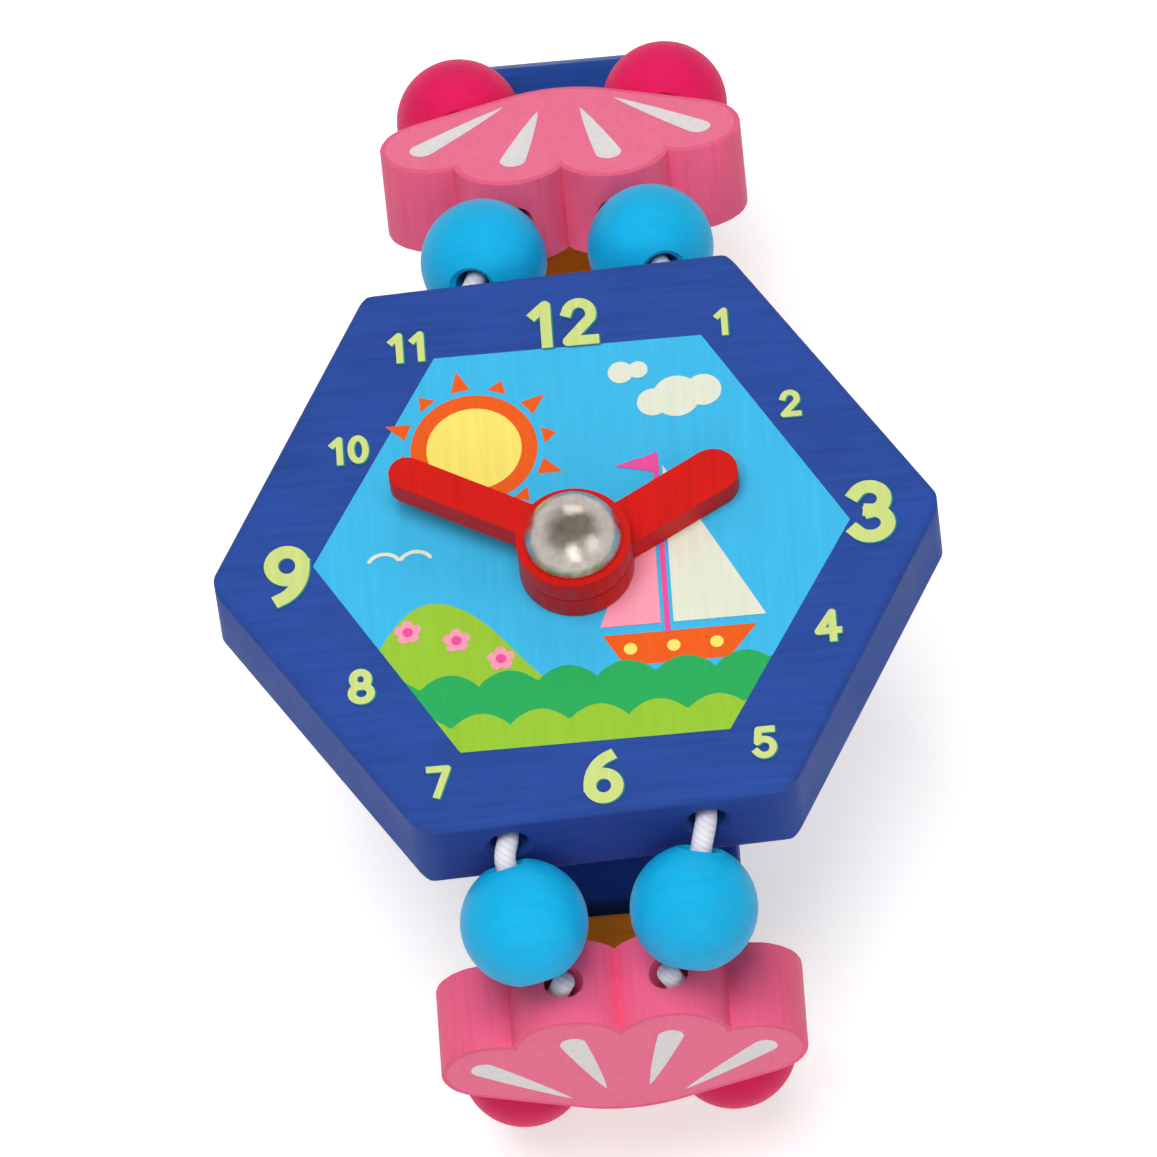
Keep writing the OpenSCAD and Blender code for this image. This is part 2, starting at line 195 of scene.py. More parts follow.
def painted_wood(name, rgb, along, deep, pale, rough, gloss, tilt=0.0):
    """Paint over wood: fine streaks along an axis, soft blotches and a slightly uneven sheen."""
    n = Nodes(name, tilt)
    cells = [GRAIN_ACROSS] * 3
    cells["xyz".index(along)] = GRAIN_ALONG
    streaks = n.noise(cells, 5.0, 0.62)
    blotch = n.noise(even(160.0), 2.0)
    specks = n.noise(even(5200.0), 2.0, 0.7)
    base = n.ramp(streaks, [(0.30, shade(rgb, deep)), (0.50, rgb), (0.72, shade(rgb, pale))])
    soft = n.ramp(blotch, [(0.30, shade(rgb, 0.94)), (0.70, shade(rgb, 1.05))])
    n.link(n.mix(1.0 - GRAIN_SHARE, base, soft), n.bsdf.inputs["Base Color"])
    n.link(n.span(blotch, rough - 0.06, rough + 0.08), n.bsdf.inputs["Roughness"])
    n.set("Specular IOR Level", gloss)
    n.bump([(streaks, 0.20, 0.05), (specks, 0.12, 0.03)])
    return n.mat


INK_ROUGH = 0.48
INK_GLOSS = 0.14


def printed(name, rgb):
    """Flat printing ink: a faint grain of the wood below, with pin-holes."""
    n = Nodes(name)
    specks = n.noise(even(3600.0), 2.0, 0.7)
    streaks = n.noise((INK_GRAIN_ACROSS, GRAIN_ALONG, INK_GRAIN_ACROSS), 4.0, 0.6)
    fleck = n.ramp(specks, [(0.20, shade(rgb, 0.78)), (0.30, rgb)])
    tone = n.ramp(streaks, [(0.30, shade(rgb, 0.955)), (0.70, shade(rgb, 1.03))])
    n.link(n.mix(0.6, fleck, tone), n.bsdf.inputs["Base Color"])
    n.link(n.span(specks, INK_ROUGH - 0.05, INK_ROUGH + 0.07), n.bsdf.inputs["Roughness"])
    n.set("Specular IOR Level", INK_GLOSS)
    n.bump([(streaks, 0.12, 0.04)])
    return n.mat


def nickel(name):
    """Nickel plate, softly dented and hazed."""
    n = Nodes(name)
    dents = n.noise(even(780.0), 2.0, 0.5)
    haze = n.noise(even(1500.0), 2.0, 0.5)
    n.link(n.ramp(haze, [(0.3, (184, 175, 166)), (0.7, (204, 196, 188))]), n.bsdf.inputs["Base Color"])
    n.set("Metallic", 1.0)
    n.link(n.span(haze, 0.26, 0.34), n.bsdf.inputs["Roughness"])
    n.bump([(dents, 0.25, 0.20)])
    return n.mat


def braided(name):
    """White covered elastic: a fine braid over a soft, milky cord."""
    n = Nodes(name)
    wave = n.tree.nodes.new("ShaderNodeTexWave")
    wave.wave_type = "BANDS"
    wave.bands_direction = "DIAGONAL"
    wave.inputs["Scale"].default_value = 1100.0
    wave.inputs["Distortion"].default_value = 1.0
    wave.inputs["Detail"].default_value = 1.0
    n.link(n.place, wave.inputs["Vector"])
    braid = wave.outputs["Fac"]
    fuzz = n.noise(even(5200.0), 3.0, 0.6)
    n.link(n.ramp(braid, [(0.1, (228, 226, 234)), (0.7, (241, 239, 245))]), n.bsdf.inputs["Base Color"])
    n.set("Roughness", 0.75)
    n.set("Specular IOR Level", 0.2)
    n.set("Subsurface Weight", 0.15)
    n.set("Subsurface Radius", even(0.4 * MM))
    n.bump([(braid, 0.10, 0.03), (fuzz, 0.12, 0.02)])
    return n.mat


FACE_BLUE = (46, 77, 157)
SKY = (18, 178, 231)
CRIMSON = (228, 30, 96)
PINK = (245, 101, 140)
ORANGE = (240, 150, 34)
BAR_BLUE = (36, 76, 156)
RED = (206, 24, 18)

# Grain axis, tone of its dark and pale streaks, roughness, gloss, and the shells' tilt
MATERIALS = {
    "face": painted_wood("face_blue_paint", FACE_BLUE, "x", 0.82, 1.12, 0.50, 0.05),
    "sky": painted_wood("sky_blue_paint", SKY, "x", 0.93, 1.06, 0.50, 0.20),
    "crimson": painted_wood("crimson_paint", CRIMSON, "x", 0.92, 1.04, 0.48, 0.12),
    "pink_6": painted_wood("shell_pink_paint_6", PINK, "z", 0.91, 1.04, 0.50, 0.10, LOWER_TILT),
    "pink_12": painted_wood("shell_pink_paint_12", PINK, "z", 0.91, 1.04, 0.50, 0.10, -UPPER_TILT),
    "orange": painted_wood("bar_orange_paint", ORANGE, "x", 0.84, 1.08, 0.50, 0.08),
    "bar_blue": painted_wood("bar_blue_paint", BAR_BLUE, "x", 0.82, 1.10, 0.50, 0.05),
    "red": painted_wood("hand_red_paint", RED, "y", 0.86, 1.08, 0.42, 0.14),
    "nickel": nickel("nickel_plate"),
    "elastic": braided("white_elastic"),
}


# Paint on the solids
WELD = 0.002
HAND_ROUND = 0.38
SHELL_ROUND = 0.35
ROUND_SEGMENTS = 3
SHARP_ANGLE = 35


def dress(node, key):
    """Puts one material on all of a solid."""
    data = nodes[node].data
    if not data.materials:
        data.materials.append(MATERIALS[key])
    for i in range(len(data.materials)):
        data.materials[i] = MATERIALS[key]


def round_edges(node, width):
    """Rounds a solid's sharp edges, as sanding and paint do."""
    o = nodes[node]
    weld = o.modifiers.new("weld", "WELD")
    weld.merge_threshold = WELD * MM
    bevel = o.modifiers.new("round", "BEVEL")
    bevel.width = width * MM
    bevel.segments = ROUND_SEGMENTS
    bevel.limit_method = "ANGLE"
    bevel.angle_limit = math.radians(SHARP_ANGLE)
    bevel.harden_normals = False
    normal = o.modifiers.new("normals", "WEIGHTED_NORMAL")
    normal.keep_sharp = False


dress("clock_face", "face")
dress("centre_pin", "nickel")
for hand in ("hour_hand", "minute_hand"):
    dress(hand, "red")
    round_edges(hand, HAND_ROUND)
for end in ("6", "12"):
    for side in ("left", "right"):
        dress(f"sky_bead_{end}_{side}", "sky")
        dress(f"crimson_bead_{end}_{side}", "crimson")
    dress(f"shell_{end}", f"pink_{end}")
    round_edges(f"shell_{end}", SHELL_ROUND)
dress("turn_bar", "bar_blue")
for i in range(1, FLAT_BARS + 1):
    dress(f"back_bar_{i}", "orange" if i % 2 else "bar_blue")


# Mesh helpers
def piece(name, bm, mat, body, smooth=False):
    """An object of the scene's own, riding a body."""
    mesh = bpy.data.meshes.new(name)
    bm.normal_update()
    bm.to_mesh(mesh)
    bm.free()
    mesh.materials.append(mat)
    if smooth:
        for p in mesh.polygons:
            p.use_smooth = True
    o = bpy.data.objects.new(name, mesh)
    scene.collection.objects.link(o)
    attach(o, body)
    return o


def tube(points, radius, sides=16):
    """A round tube along points, in millimetres, with closed ends."""
    bm = bmesh.new()
    rings = []
    last = len(points) - 1
    up = X
    for i, p in enumerate(points):
        t = (points[min(i + 1, last)] - points[max(i - 1, 0)]).normalized()
        a = t.cross(up)
        if a.length < 1e-4:
            a = t.cross(Y)
        a.normalize()
        b = t.cross(a)
        up = -b
        rings.append([
            bm.verts.new((p + radius * (math.cos(k) * a + math.sin(k) * b)) * MM)
            for k in (2 * math.pi * j / sides for j in range(sides))
        ])
    for one, two in zip(rings, rings[1:]):
        for j in range(sides):
            n = (j + 1) % sides
            bm.faces.new((one[j], one[n], two[n], two[j]))
    bm.faces.new(rings[0][::-1])
    bm.faces.new(rings[-1])
    bmesh.ops.recalc_face_normals(bm, faces=bm.faces)
    return bm


def joined(parts):
    """Several meshes as one."""
    bm = bmesh.new()
    for part in parts:
        mesh = bpy.data.meshes.new("part")
        part.to_mesh(mesh)
        part.free()
        bm.from_mesh(mesh)
        bpy.data.meshes.remove(mesh)
    return bm


def bend(p, tp, q, tq, share, count=10):
    """Points of a smooth bend from p to q, both ends left out."""
    reach = share * (q - p).length
    out = []
    for k in range(1, count):
        t = k / count
        a, b = t * t, t * t * t
        out.append((2 * b - 3 * a + 1) * p + (b - 2 * a + t) * reach * tp
                   + (3 * a - 2 * b) * q + (b - a) * reach * tq)
    return out


# Elastic
CORD_R = 0.675
BACK_CORD_R = 0.6
# Reach of a bend as a share of the gap that it spans
BEND = 1.1
WIDE_BEND = 2.2
# Distance from a bead's middle to the mouth of its bore
POLE = math.sqrt(BEAD_R ** 2 - BORE_MOUTH_R ** 2)


def at(x, yz):
    """A point at x across the strap, on a row."""
    return Vector((x, yz[0], yz[1]))


def down(sign, tilt, lean=0.0, side=0):
    """Direction down the strap: sign -1 on the 6 o'clock side, 1 on the other."""
    t, a = math.radians(tilt), math.radians(lean)
    return Vector((-side * math.sin(a), sign * math.cos(a) * math.cos(t), -math.cos(a) * math.sin(t)))


def elastic_piece(name, bm, body, node):
    """Elastic that takes the place of a node's solid."""
    o = piece(name, bm, MATERIALS["elastic"], body, smooth=True)
    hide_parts(node)


def face_route(side):
    """The elastic from the 6 o'clock sky-blue bead through the face to the 12 o'clock one."""
    turn = Matrix.Rotation(math.radians(FACE_TURN), 3, "Z")
    ahead = turn @ Y
    a6 = down(-1, SKY_LOWER_TILT, SKY_LEAN, side)
    a12 = down(1, SKY_UPPER_TILT, SKY_LEAN, side)
    b6, b12 = at(side * SKY_X + LOWER_X, SKY_6), at(side * SKY_X + UPPER_X, SKY_12)
    m6 = FACE + turn @ Vector((side * FACE_BORE_X, -FACE_BORE_END, -FACE_BORE_DEPTH))
    m12 = FACE + turn @ Vector((side * FACE_BORE_X, FACE_BORE_END, -FACE_BORE_DEPTH))
    return [
        b6 + POLE * a6, b6 - POLE * a6, *bend(b6 - POLE * a6, -a6, m6, ahead, BEND), m6,
        m12, *bend(m12, ahead, b12 - POLE * a12, a12, BEND), b12 - POLE * a12, b12 + POLE * a12,
    ]


def back_route(side):
    """The elastic from the 12 o'clock crimson bead through the bars to the 6 o'clock one."""
    c6, c12 = down(-1, CRIMSON_LOWER_TILT), down(1, CRIMSON_UPPER_TILT)
    d6, d12 = at(side * CRIMSON_X + LOWER_X, CRIMSON_6), at(side * CRIMSON_X + UPPER_X, CRIMSON_12)
    turn = down(1, TURN_TILT)
    start = at(side * BAR_BORE_X + UPPER_X, CRIMSON_12) + (BEAD_R + PIECE_GAP) * turn
    stop = start + BAR_L * turn
    run_in = Vector((side * BAR_BORE_X, RUN_HALF, RUN_Z))
    run_out = Vector((side * BAR_BORE_X, -RUN_HALF, RUN_Z))
    return [
        d12 - POLE * c12, d12 + POLE * c12, *bend(d12 + POLE * c12, c12, start, turn, BEND), start,
        stop, *bend(stop, turn, run_in, -Y, WIDE_BEND), run_in,
        run_out, *bend(run_out, -Y, d6 + POLE * c6, -c6, BEND), d6 + POLE * c6, d6 - POLE * c6,
    ]


for side, word in ((-1, "left"), (1, "right")):
    face_tube, back_tube = tube(face_route(side), CORD_R), tube(back_route(side), BACK_CORD_R)
    elastic_piece(f"elastic_face_{word}", face_tube, "watch_face", f"face_cord_{word}")
    elastic_piece(f"elastic_back_{word}", back_tube, "strap_back", f"back_cord_{word}")


# Shell plates: outline of lobes, ends and apex in the plate's own plane, with their radii
LOBE, LOBE_R = Vector((3.2, -2.4)), 3.8
END, END_R = Vector((8.1, -0.3)), 3.4
APEX, APEX_R = Vector((0, -1.8)), 8.0
# Where a bore leaves the flank on the crimson bead's side
FLANK_Y = 4.057
SHELL_BODIES = {"6": "lower_shell", "12": "upper_shell"}


def plate_frame(end):
    """Middle of a shell plate, and its directions across, along and outward."""
    if end == "6":
        sign, tilt, mid = -1, math.radians(LOWER_TILT), at(LOWER_X, SHELL_6)
    else:
        sign, tilt, mid = 1, math.radians(UPPER_TILT), at(UPPER_X, SHELL_12)
    along = Vector((0, sign * math.cos(tilt), -math.sin(tilt)))
    out = Vector((0, sign * math.sin(tilt), math.cos(tilt)))
    return mid, X, along, out


def shell_rod(end, side):
    """The elastic in one bore of a shell plate."""
    mid, across, along, _ = plate_frame(end)
    p = mid + side * LOBE.x * across - SHELL_H / 2 * along
    q = mid + side * CRIMSON_X * across + FLANK_Y * along
    return tube([p, p.lerp(q, 0.5), q], CORD_R)


for end, body in SHELL_BODIES.items():
    rods = joined(shell_rod(end, side) for side in (-1, 1))
    elastic_piece(f"elastic_shell_{end}", rods, body, f"shell_{end}_cords")

# Knots: a trefoil about the middle line of the rest bar
KNOT_Y = 2.5
KNOT_RING = 0.52
KNOT_SWING = 0.24
KNOT_DEPTH = 0.42
KNOT_CORD_R = 0.6
KNOT_SIDES = 12
KNOT_STEPS = 60


def knot_points(x):
    """An overhand knot drawn tight."""
    centre = Vector((x, KNOT_Y, RUN_Z))
    out = []
    for k in range(KNOT_STEPS + 1):
        t = 2 * math.pi * k / KNOT_STEPS
        ring = KNOT_RING + KNOT_SWING * math.cos(3 * t)
        swing = Vector((ring * math.cos(2 * t), KNOT_DEPTH * math.sin(3 * t), ring * math.sin(2 * t)))
        out.append(centre + swing)
    return out


knots = joined(tube(knot_points(side * BAR_BORE_X), KNOT_CORD_R, KNOT_SIDES) for side in (-1, 1))
elastic_piece("elastic_knots", knots, "strap_back", "cord_knots")


# Printing
INK = {
    "sky": printed("ink_sky", (64, 186, 234)),
    "numeral": printed("ink_numeral", (206, 222, 134)),
    "teal": printed("ink_teal", (34, 122, 140)),
    "orange": printed("ink_orange", (238, 96, 30)),
    "yellow": printed("ink_yellow", (252, 232, 112)),
    "cream": printed("ink_cream", (226, 232, 212)),
    "pink": printed("ink_pink", (248, 160, 182)),
    "magenta": printed("ink_magenta", (236, 82, 160)),
    "leaf": printed("ink_leaf", (152, 200, 56)),
    "green": printed("ink_green", (44, 172, 92)),
    "white": printed("ink_white", (238, 232, 234)),
    # Shell fronts: a paler pink than the plates' paint, painted light on the front faces
    "shell": printed("ink_shell_painted_light", (249, 117, 153)),
}
# Height of each printed layer above the paint, in millimetres
LIFT = {
    "sky": 0.010, "orange": 0.018, "yellow": 0.026, "leaf": 0.034, "green": 0.042, "leaf_near": 0.046,
    "cream": 0.050, "pink": 0.058, "magenta": 0.066, "numeral_edge": 0.074, "numerals": 0.082,
    "shell_front_painted_light": 0.010, "shell_drops": 0.018,
}
# Tolerances of the printed shapes, and the triangulation that keeps only their insides
SMALL = 1e-6
FLAT = 1e-4
WELD_2D = 1e-5
INSIDES = 1
JOINT_SIDES = 16


def arc(cx, cy, rx, ry, a, b, n=14):
    """Points of an arc from angle a to angle b, in degrees."""
    return [(cx + rx * math.cos(math.radians(a + (b - a) * k / n)),
             cy + ry * math.sin(math.radians(a + (b - a) * k / n))) for k in range(n + 1)]


def round_about(x, y, r, count, turn=0.0):
    """Points spaced evenly on a circle."""
    angles = [2 * math.pi * k / count + math.radians(turn) for k in range(count)]
    return [(x + r * math.cos(a), y + r * math.sin(a)) for a in angles]


class Print:
    """Flat shapes of one ink on a plane, in millimetres, joined into one piece."""

    def __init__(self, origin, across, along, out, lift):
        self.origin, self.across, self.along = origin + lift * out, across, along
        self.points, self.shapes = [], []

    def face(self, pts):
        """One outline, turned counter-clockwise, because the triangulation drops the others."""
        pts = [Vector(q) for q in pts]
        if sum(a.cross(b) for a, b in zip(pts, pts[1:] + pts[:1])) < 0:
            pts.reverse()
        first = len(self.points)
        self.points += pts
        self.shapes.append(list(range(first, len(self.points))))

    def disc(self, x, y, r, n=40):
        """A circle of n sides."""
        self.face(round_about(x, y, r, n))

    def stroke(self, pts, w, square=False):
        """A line with round joints, and round or square ends."""
        pts = [Vector(q) for q in pts]
        joints = pts
        if square and (pts[0] - pts[-1]).length > SMALL:
            joints = pts[1:-1]
            pts[0] = pts[0] + (pts[0] - pts[1]).normalized() * w / 2
            pts[-1] = pts[-1] + (pts[-1] - pts[-2]).normalized() * w / 2
        for (x0, y0), (x1, y1) in zip(pts, pts[1:]):
            d = math.hypot(x1 - x0, y1 - y0)
            if d < SMALL:
                continue
            nx, ny = -(y1 - y0) / d * w / 2, (x1 - x0) / d * w / 2
            self.face([(x0 + nx, y0 + ny), (x0 - nx, y0 - ny), (x1 - nx, y1 - ny), (x1 + nx, y1 + ny)])
        for x, y in joints:
            self.disc(x, y, w / 2, JOINT_SIDES)

    def strip(self, x0, x1, low, high, steps):
        """The area between two curves over x."""
        xs = [x0 + (x1 - x0) * k / steps for k in range(steps + 1)]
        for a, b in zip(xs, xs[1:]):
            if high(a) - low(a) > FLAT or high(b) - low(b) > FLAT:
                self.face([(a, low(a)), (b, low(b)), (b, high(b)), (a, high(a))])

    def done(self, name, ink, body, slot):
        """One layer of triangles where any shape lies, so that overlaps leave no double faces."""
        points, _, faces, _, _, owners = delaunay_2d_cdt(self.points, [], self.shapes, INSIDES, WELD_2D)
        bm = bmesh.new()
        verts = [bm.verts.new((self.origin + q.x * self.across + q.y * self.along) * MM) for q in points]
        for f, owner in zip(faces, owners):
            if owner:
                bm.faces.new([verts[k] for k in f])
        bm.normal_update()
        up = self.across.cross(self.along)
        bmesh.ops.reverse_faces(bm, faces=[f for f in bm.faces if f.normal.dot(up) < 0])
        bmesh.ops.delete(bm, geom=[v for v in bm.verts if not v.link_faces], context="VERTS")
        piece(name, bm, INK[ink], body)


# Dial picture: the printed hexagon and the motifs on it
PRINT_SHIFT = Vector((0.38, -0.3, 0))
HEX_R = 16.85
SUN = (-6.3, 7.6)
SUN_R = 4.0
SUN_CORE_R = 3.0
RAYS = 12
RAY_TURN = 8
RAY_FOOT = 4.4
RAY_HALF = 0.62
RAY_REACHES = (5.3, 5.9)
HULL = [(0.9, -7.0), (2.2, -9.3), (8.7, -9.3), (10.6, -7.0)]
PORTHOLES = ((2.6, -8.1), (5.3, -8.1), (8.0, -8.1))
PORTHOLE_R = 0.42
CREAM_SAIL = [(5.4, -6.4), (5.4, 5.2), (11.2, -6.4)]
PINK_SAIL = [(4.6, -6.4), (4.6, 3.6), (0.8, -6.4)]
MAST = [(5.0, -7.0), (5.0, 6.0)]
MAST_W = 0.34
FLAG = [(5.0, 6.1), (5.0, 4.7), (2.4, 5.4)]
CLOUDS = ((6.6, 10.2, 1.5), (8.3, 10.5, 1.15), (5.1, 9.9, 1.0), (3.2, 12.3, 0.8), (4.3, 12.4, 0.62))
GULL_WINGS = ((-12.4, -0.4), (-10.4, -0.4))
WING_SIZE = (1.0, 0.8)
WING_ANGLES = (25, 155)
WING_W = 0.26
FLOWERS = ((-11.2, -5.5), (-8.2, -6.4), (-5.5, -8.0))
PETALS = 5
PETAL_TURN = 20
PETAL_REACH = 0.52
PETAL_R = 0.36
FLOWER_MIDDLE_R = 0.34
FLOWER_SIDES = 20
HILL_FOOT, HILL_RISE = -10.5, 7.3
HILL_TOP_X, HILL_SPREAD = -9.2, 4.6
HILL_ROLL, HILL_ROLL_RATE = 0.4, 0.9
HILL_RIGHT = -0.4
WAVE_RISE, WAVE_LENGTH, WAVE_ROUND = 1.0, 3.7, 0.8
FAR_WAVES, NEAR_WAVES = (-9.9, 0.4), (-12.9, 2.2)
PICTURE_HALF = 16.0
PICTURE_STEPS = 160


def dial(layer):
    """An empty layer of the dial picture."""
    return Print(FACE + PRINT_SHIFT, X, Y, Z, LIFT[layer])


def on_face(p, layer, ink):
    """Finishes a layer of the face's print."""
    p.done(f"print_{layer}", ink, "watch_face", "face_blue")


def edge(x):
    """Half height of the printed hexagon at x."""
    return max(0.0, min(HEX_R * math.sqrt(3) / 2, (HEX_R - abs(x)) * math.sqrt(3)))


def ray(p, k):
    """One ray of the sun: a triangle that points outward."""
    a = math.radians(360 / RAYS * k + RAY_TURN)
    out, across = Vector((math.cos(a), math.sin(a))), Vector((-math.sin(a), math.cos(a)))
    foot = Vector(SUN) + RAY_FOOT * out
    tip = Vector(SUN) + RAY_REACHES[k % 2] * out
    p.face([foot + RAY_HALF * across, foot - RAY_HALF * across, tip])


def hill(x):
    """Height of the hill at x."""
    roll = HILL_ROLL * math.sin(x * HILL_ROLL_RATE)
    return HILL_FOOT + HILL_RISE * math.exp(-((x - HILL_TOP_X) / HILL_SPREAD) ** 2) + roll


def waves(base, x0):
    """A row of round-topped waves."""
    return lambda x: base + WAVE_RISE * abs(math.sin(math.pi * (x - x0) / WAVE_LENGTH)) ** WAVE_ROUND


def below(p, curve, right=PICTURE_HALF):
    """Fills the printed hexagon below a curve."""
    def top(x):
        return max(-edge(x), min(edge(x), curve(x)))
    p.strip(-PICTURE_HALF, right, lambda x: -edge(x), top, PICTURE_STEPS)


p = dial("sky")
p.face(round_about(0, 0, HEX_R, 6))
on_face(p, "sky", "sky")

p = dial("orange")
p.disc(*SUN, SUN_R)
for k in range(RAYS):
    ray(p, k)
p.face(HULL)
on_face(p, "orange", "orange")

p = dial("yellow")
p.disc(*SUN, SUN_CORE_R)
for x, y in PORTHOLES:
    p.disc(x, y, PORTHOLE_R)
on_face(p, "yellow", "yellow")

p = dial("leaf")
below(p, hill, HILL_RIGHT)
on_face(p, "leaf", "leaf")

p = dial("green")
below(p, waves(*FAR_WAVES))
on_face(p, "green", "green")

p = dial("leaf_near")
below(p, waves(*NEAR_WAVES))
on_face(p, "leaf_near", "leaf")

p = dial("cream")
p.face(CREAM_SAIL)
for x, y, r in CLOUDS:
    p.disc(x, y, r)
for x, y in GULL_WINGS:
    p.stroke(arc(x, y, *WING_SIZE, *WING_ANGLES), WING_W)
on_face(p, "cream", "cream")

p = dial("pink")
p.face(PINK_SAIL)
for x, y in FLOWERS:
    for petal in round_about(x, y, PETAL_REACH, PETALS, PETAL_TURN):
        p.disc(*petal, PETAL_R, FLOWER_SIDES)
on_face(p, "pink", "pink")

p = dial("magenta")
p.stroke(MAST, MAST_W)
p.face(FLAG)
for x, y in FLOWERS:
    p.disc(x, y, FLOWER_MIDDLE_R, FLOWER_SIDES)
on_face(p, "magenta", "magenta")


# Numerals: strokes of each digit, as shares of its height
DIGITS = {
    "0": [arc(0.30, 0.5, 0.22, 0.40, 0, 360, 28)],
    "1": [[(0.14, 0.72), (0.34, 0.90), (0.34, 0.10)]],
    "2": [arc(0.30, 0.66, 0.22, 0.24, 165, -25, 14) + [(0.08, 0.10), (0.54, 0.10)]],
    "3": [arc(0.28, 0.70, 0.21, 0.20, 150, -85, 14), arc(0.28, 0.31, 0.24, 0.21, 88, -150, 14)],
    "4": [[(0.44, 0.10), (0.44, 0.90), (0.06, 0.34), (0.58, 0.34)]],
    "5": [[(0.50, 0.90), (0.16, 0.90), (0.12, 0.52)] + arc(0.29, 0.35, 0.24, 0.25, 132, -150, 16)],
    "6": [arc(0.30, 0.33, 0.22, 0.23, 0, 360, 24), arc(0.56, 0.33, 0.48, 0.57, 180, 108, 12)],
    "7": [[(0.08, 0.90), (0.54, 0.90), (0.24, 0.10)]],
    "8": [arc(0.30, 0.70, 0.18, 0.20, 0, 360, 24), arc(0.30, 0.31, 0.23, 0.21, 0, 360, 24)],
    "9": [arc(0.30, 0.67, 0.22, 0.23, 0, 360, 24), arc(0.04, 0.67, 0.48, 0.57, 0, -72, 12)],
}
DIGIT_MID_SHARE = (0.30, 0.5)
STROKE_SHARE = 0.20
STEP_SHARE, BIG_STEP_SHARE = 0.60, 0.64
# Middle of each numeral on the face, and its height
PLACES = {
    12: (0.1, 16.05, 3.5), 1: (10.25, 15.1, 2.05), 2: (14.05, 8.6, 2.0), 3: (18.6, 0.1, 4.6),
    4: (15.3, -8.0, 2.4), 5: (10.85, -16.1, 2.35), 6: (0.7, -17.55, 3.9), 7: (-9.5, -16.9, 2.35),
    8: (-13.95, -9.45, 2.6), 9: (-18.1, -0.9, 4.5), 10: (-13.8, 8.0, 2.1), 11: (-9.6, 15.25, 2.25),
}
# The dark edge: the same numerals in teal underneath, shifted and a little bolder
EDGE_SHIFT = (0.08, -0.07)
EDGE_GROW = 0.07


def numerals(layer, ink, shift=(0, 0), grow=0.0):
    """All twelve numerals as one layer."""
    p = Print(FACE, X, Y, Z, LIFT[layer])
    for hour, (x, y, h) in PLACES.items():
        word = str(hour)
        step = (STEP_SHARE if hour % 3 else BIG_STEP_SHARE) * h
        for k, digit in enumerate(word):
            x0 = x + (k - (len(word) - 1) / 2) * step - DIGIT_MID_SHARE[0] * h + shift[0]
            for line in DIGITS[digit]:
                pts = [(x0 + u * h, y + (v - DIGIT_MID_SHARE[1]) * h + shift[1]) for u, v in line]
                p.stroke(pts, STROKE_SHARE * h + grow, square=True)
    on_face(p, layer, ink)


numerals("numeral_edge", "teal", EDGE_SHIFT, EDGE_GROW)
numerals("numerals", "numeral")


# Shell fronts: a layer set in from the plate's edge, in a paler pink than the plate's paint, which is
# painted light on the front faces, and the printed white drops
FRONT_INSET = 0.36
LOBE_STEPS, END_STEPS, APEX_STEPS = 18, 24, 24
# Each drop: middle of its round end, its point, and its radius
DROPS = (((3.05, -3.1), (1.35, 3.2), 0.82), ((8.8, -0.7), (3.5, 4.2), 0.80))
DROP_TAPER, DROP_SWELL = 0.85, 0.25
DROP_STEPS = 10


def teardrop(p, wide, tip, r):
    """A drop from its round end to its point."""
    wide = Vector(wide)
    ahead = Vector(tip) - wide
    length = ahead.length
    ahead.normalize()
    beside = Vector((-ahead.y, ahead.x))
    right = []
    for k in range(1, DROP_STEPS):
        t = k / DROP_STEPS
        right.append((length * t, -r * (1 - t) ** DROP_TAPER * (1 + DROP_SWELL * t)))
    left = [(u, -v) for u, v in reversed(right)]
    outline = arc(0, 0, r, r, 90, 270) + right + [(length, 0)] + left
    p.face([wide + u * ahead + v * beside for u, v in outline])


def shell_half(inset):
    """Right half of a shell's outline, drawn in by an inset, from the lobes' middle to the apex."""
    lobe_r, end_r, apex_r = LOBE_R - inset, END_R - inset, APEX_R - inset
    span, slope = END - LOBE, END - APEX
    d = span.length
    lie = math.degrees(math.atan2(span.y, span.x))
    meet = (lobe_r * lobe_r - end_r * end_r + d * d) / (2 * d)
    middle = math.degrees(math.acos(LOBE.x / lobe_r)) - 180
    lobe_cusp = lie - math.degrees(math.acos(meet / lobe_r))
    end_cusp = lie - 180 + math.degrees(math.acos((d - meet) / end_r))
    flank = math.degrees(math.atan2(slope.y, slope.x) + math.acos((APEX_R - END_R) / slope.length))
    return (arc(*LOBE, lobe_r, lobe_r, middle, lobe_cusp, LOBE_STEPS)
            + arc(*END, end_r, end_r, end_cusp, flank, END_STEPS)[1:]
            + arc(*APEX, apex_r, apex_r, flank, 90, APEX_STEPS))


for end, body in SHELL_BODIES.items():
    mid, across, along, out = plate_frame(end)
    # The front layer's paler pink is painted light on the front face
    p = Print(mid, across, along, out, SHELL_T / 2 + LIFT["shell_front_painted_light"])
    half = shell_half(FRONT_INSET)
    p.face(half + [(-x, y) for x, y in half[-2:0:-1]])
    p.done(f"print_shell_front_{end}", "shell", body, "shell_pink")
    p = Print(mid, across, along, out, SHELL_T / 2 + LIFT["shell_drops"])
    for side in (-1, 1):
        for wide, tip, r in DROPS:
            teardrop(p, (side * wide[0], wide[1]), (side * tip[0], tip[1]), r)
    p.done(f"print_shell_drops_{end}", "white", body, "shell_pink")


# Stage: floor and world
FLOOR_HALF = 1.5
FLOOR_CELLS = 8
FLOOR_DROP = 0.02
FLOOR_LIFT = 0.5
ROOM_LIGHT = 0.29
ROOM_STOPS = ((0.34, (255, 255, 255)), (0.76, (148, 140, 133)))


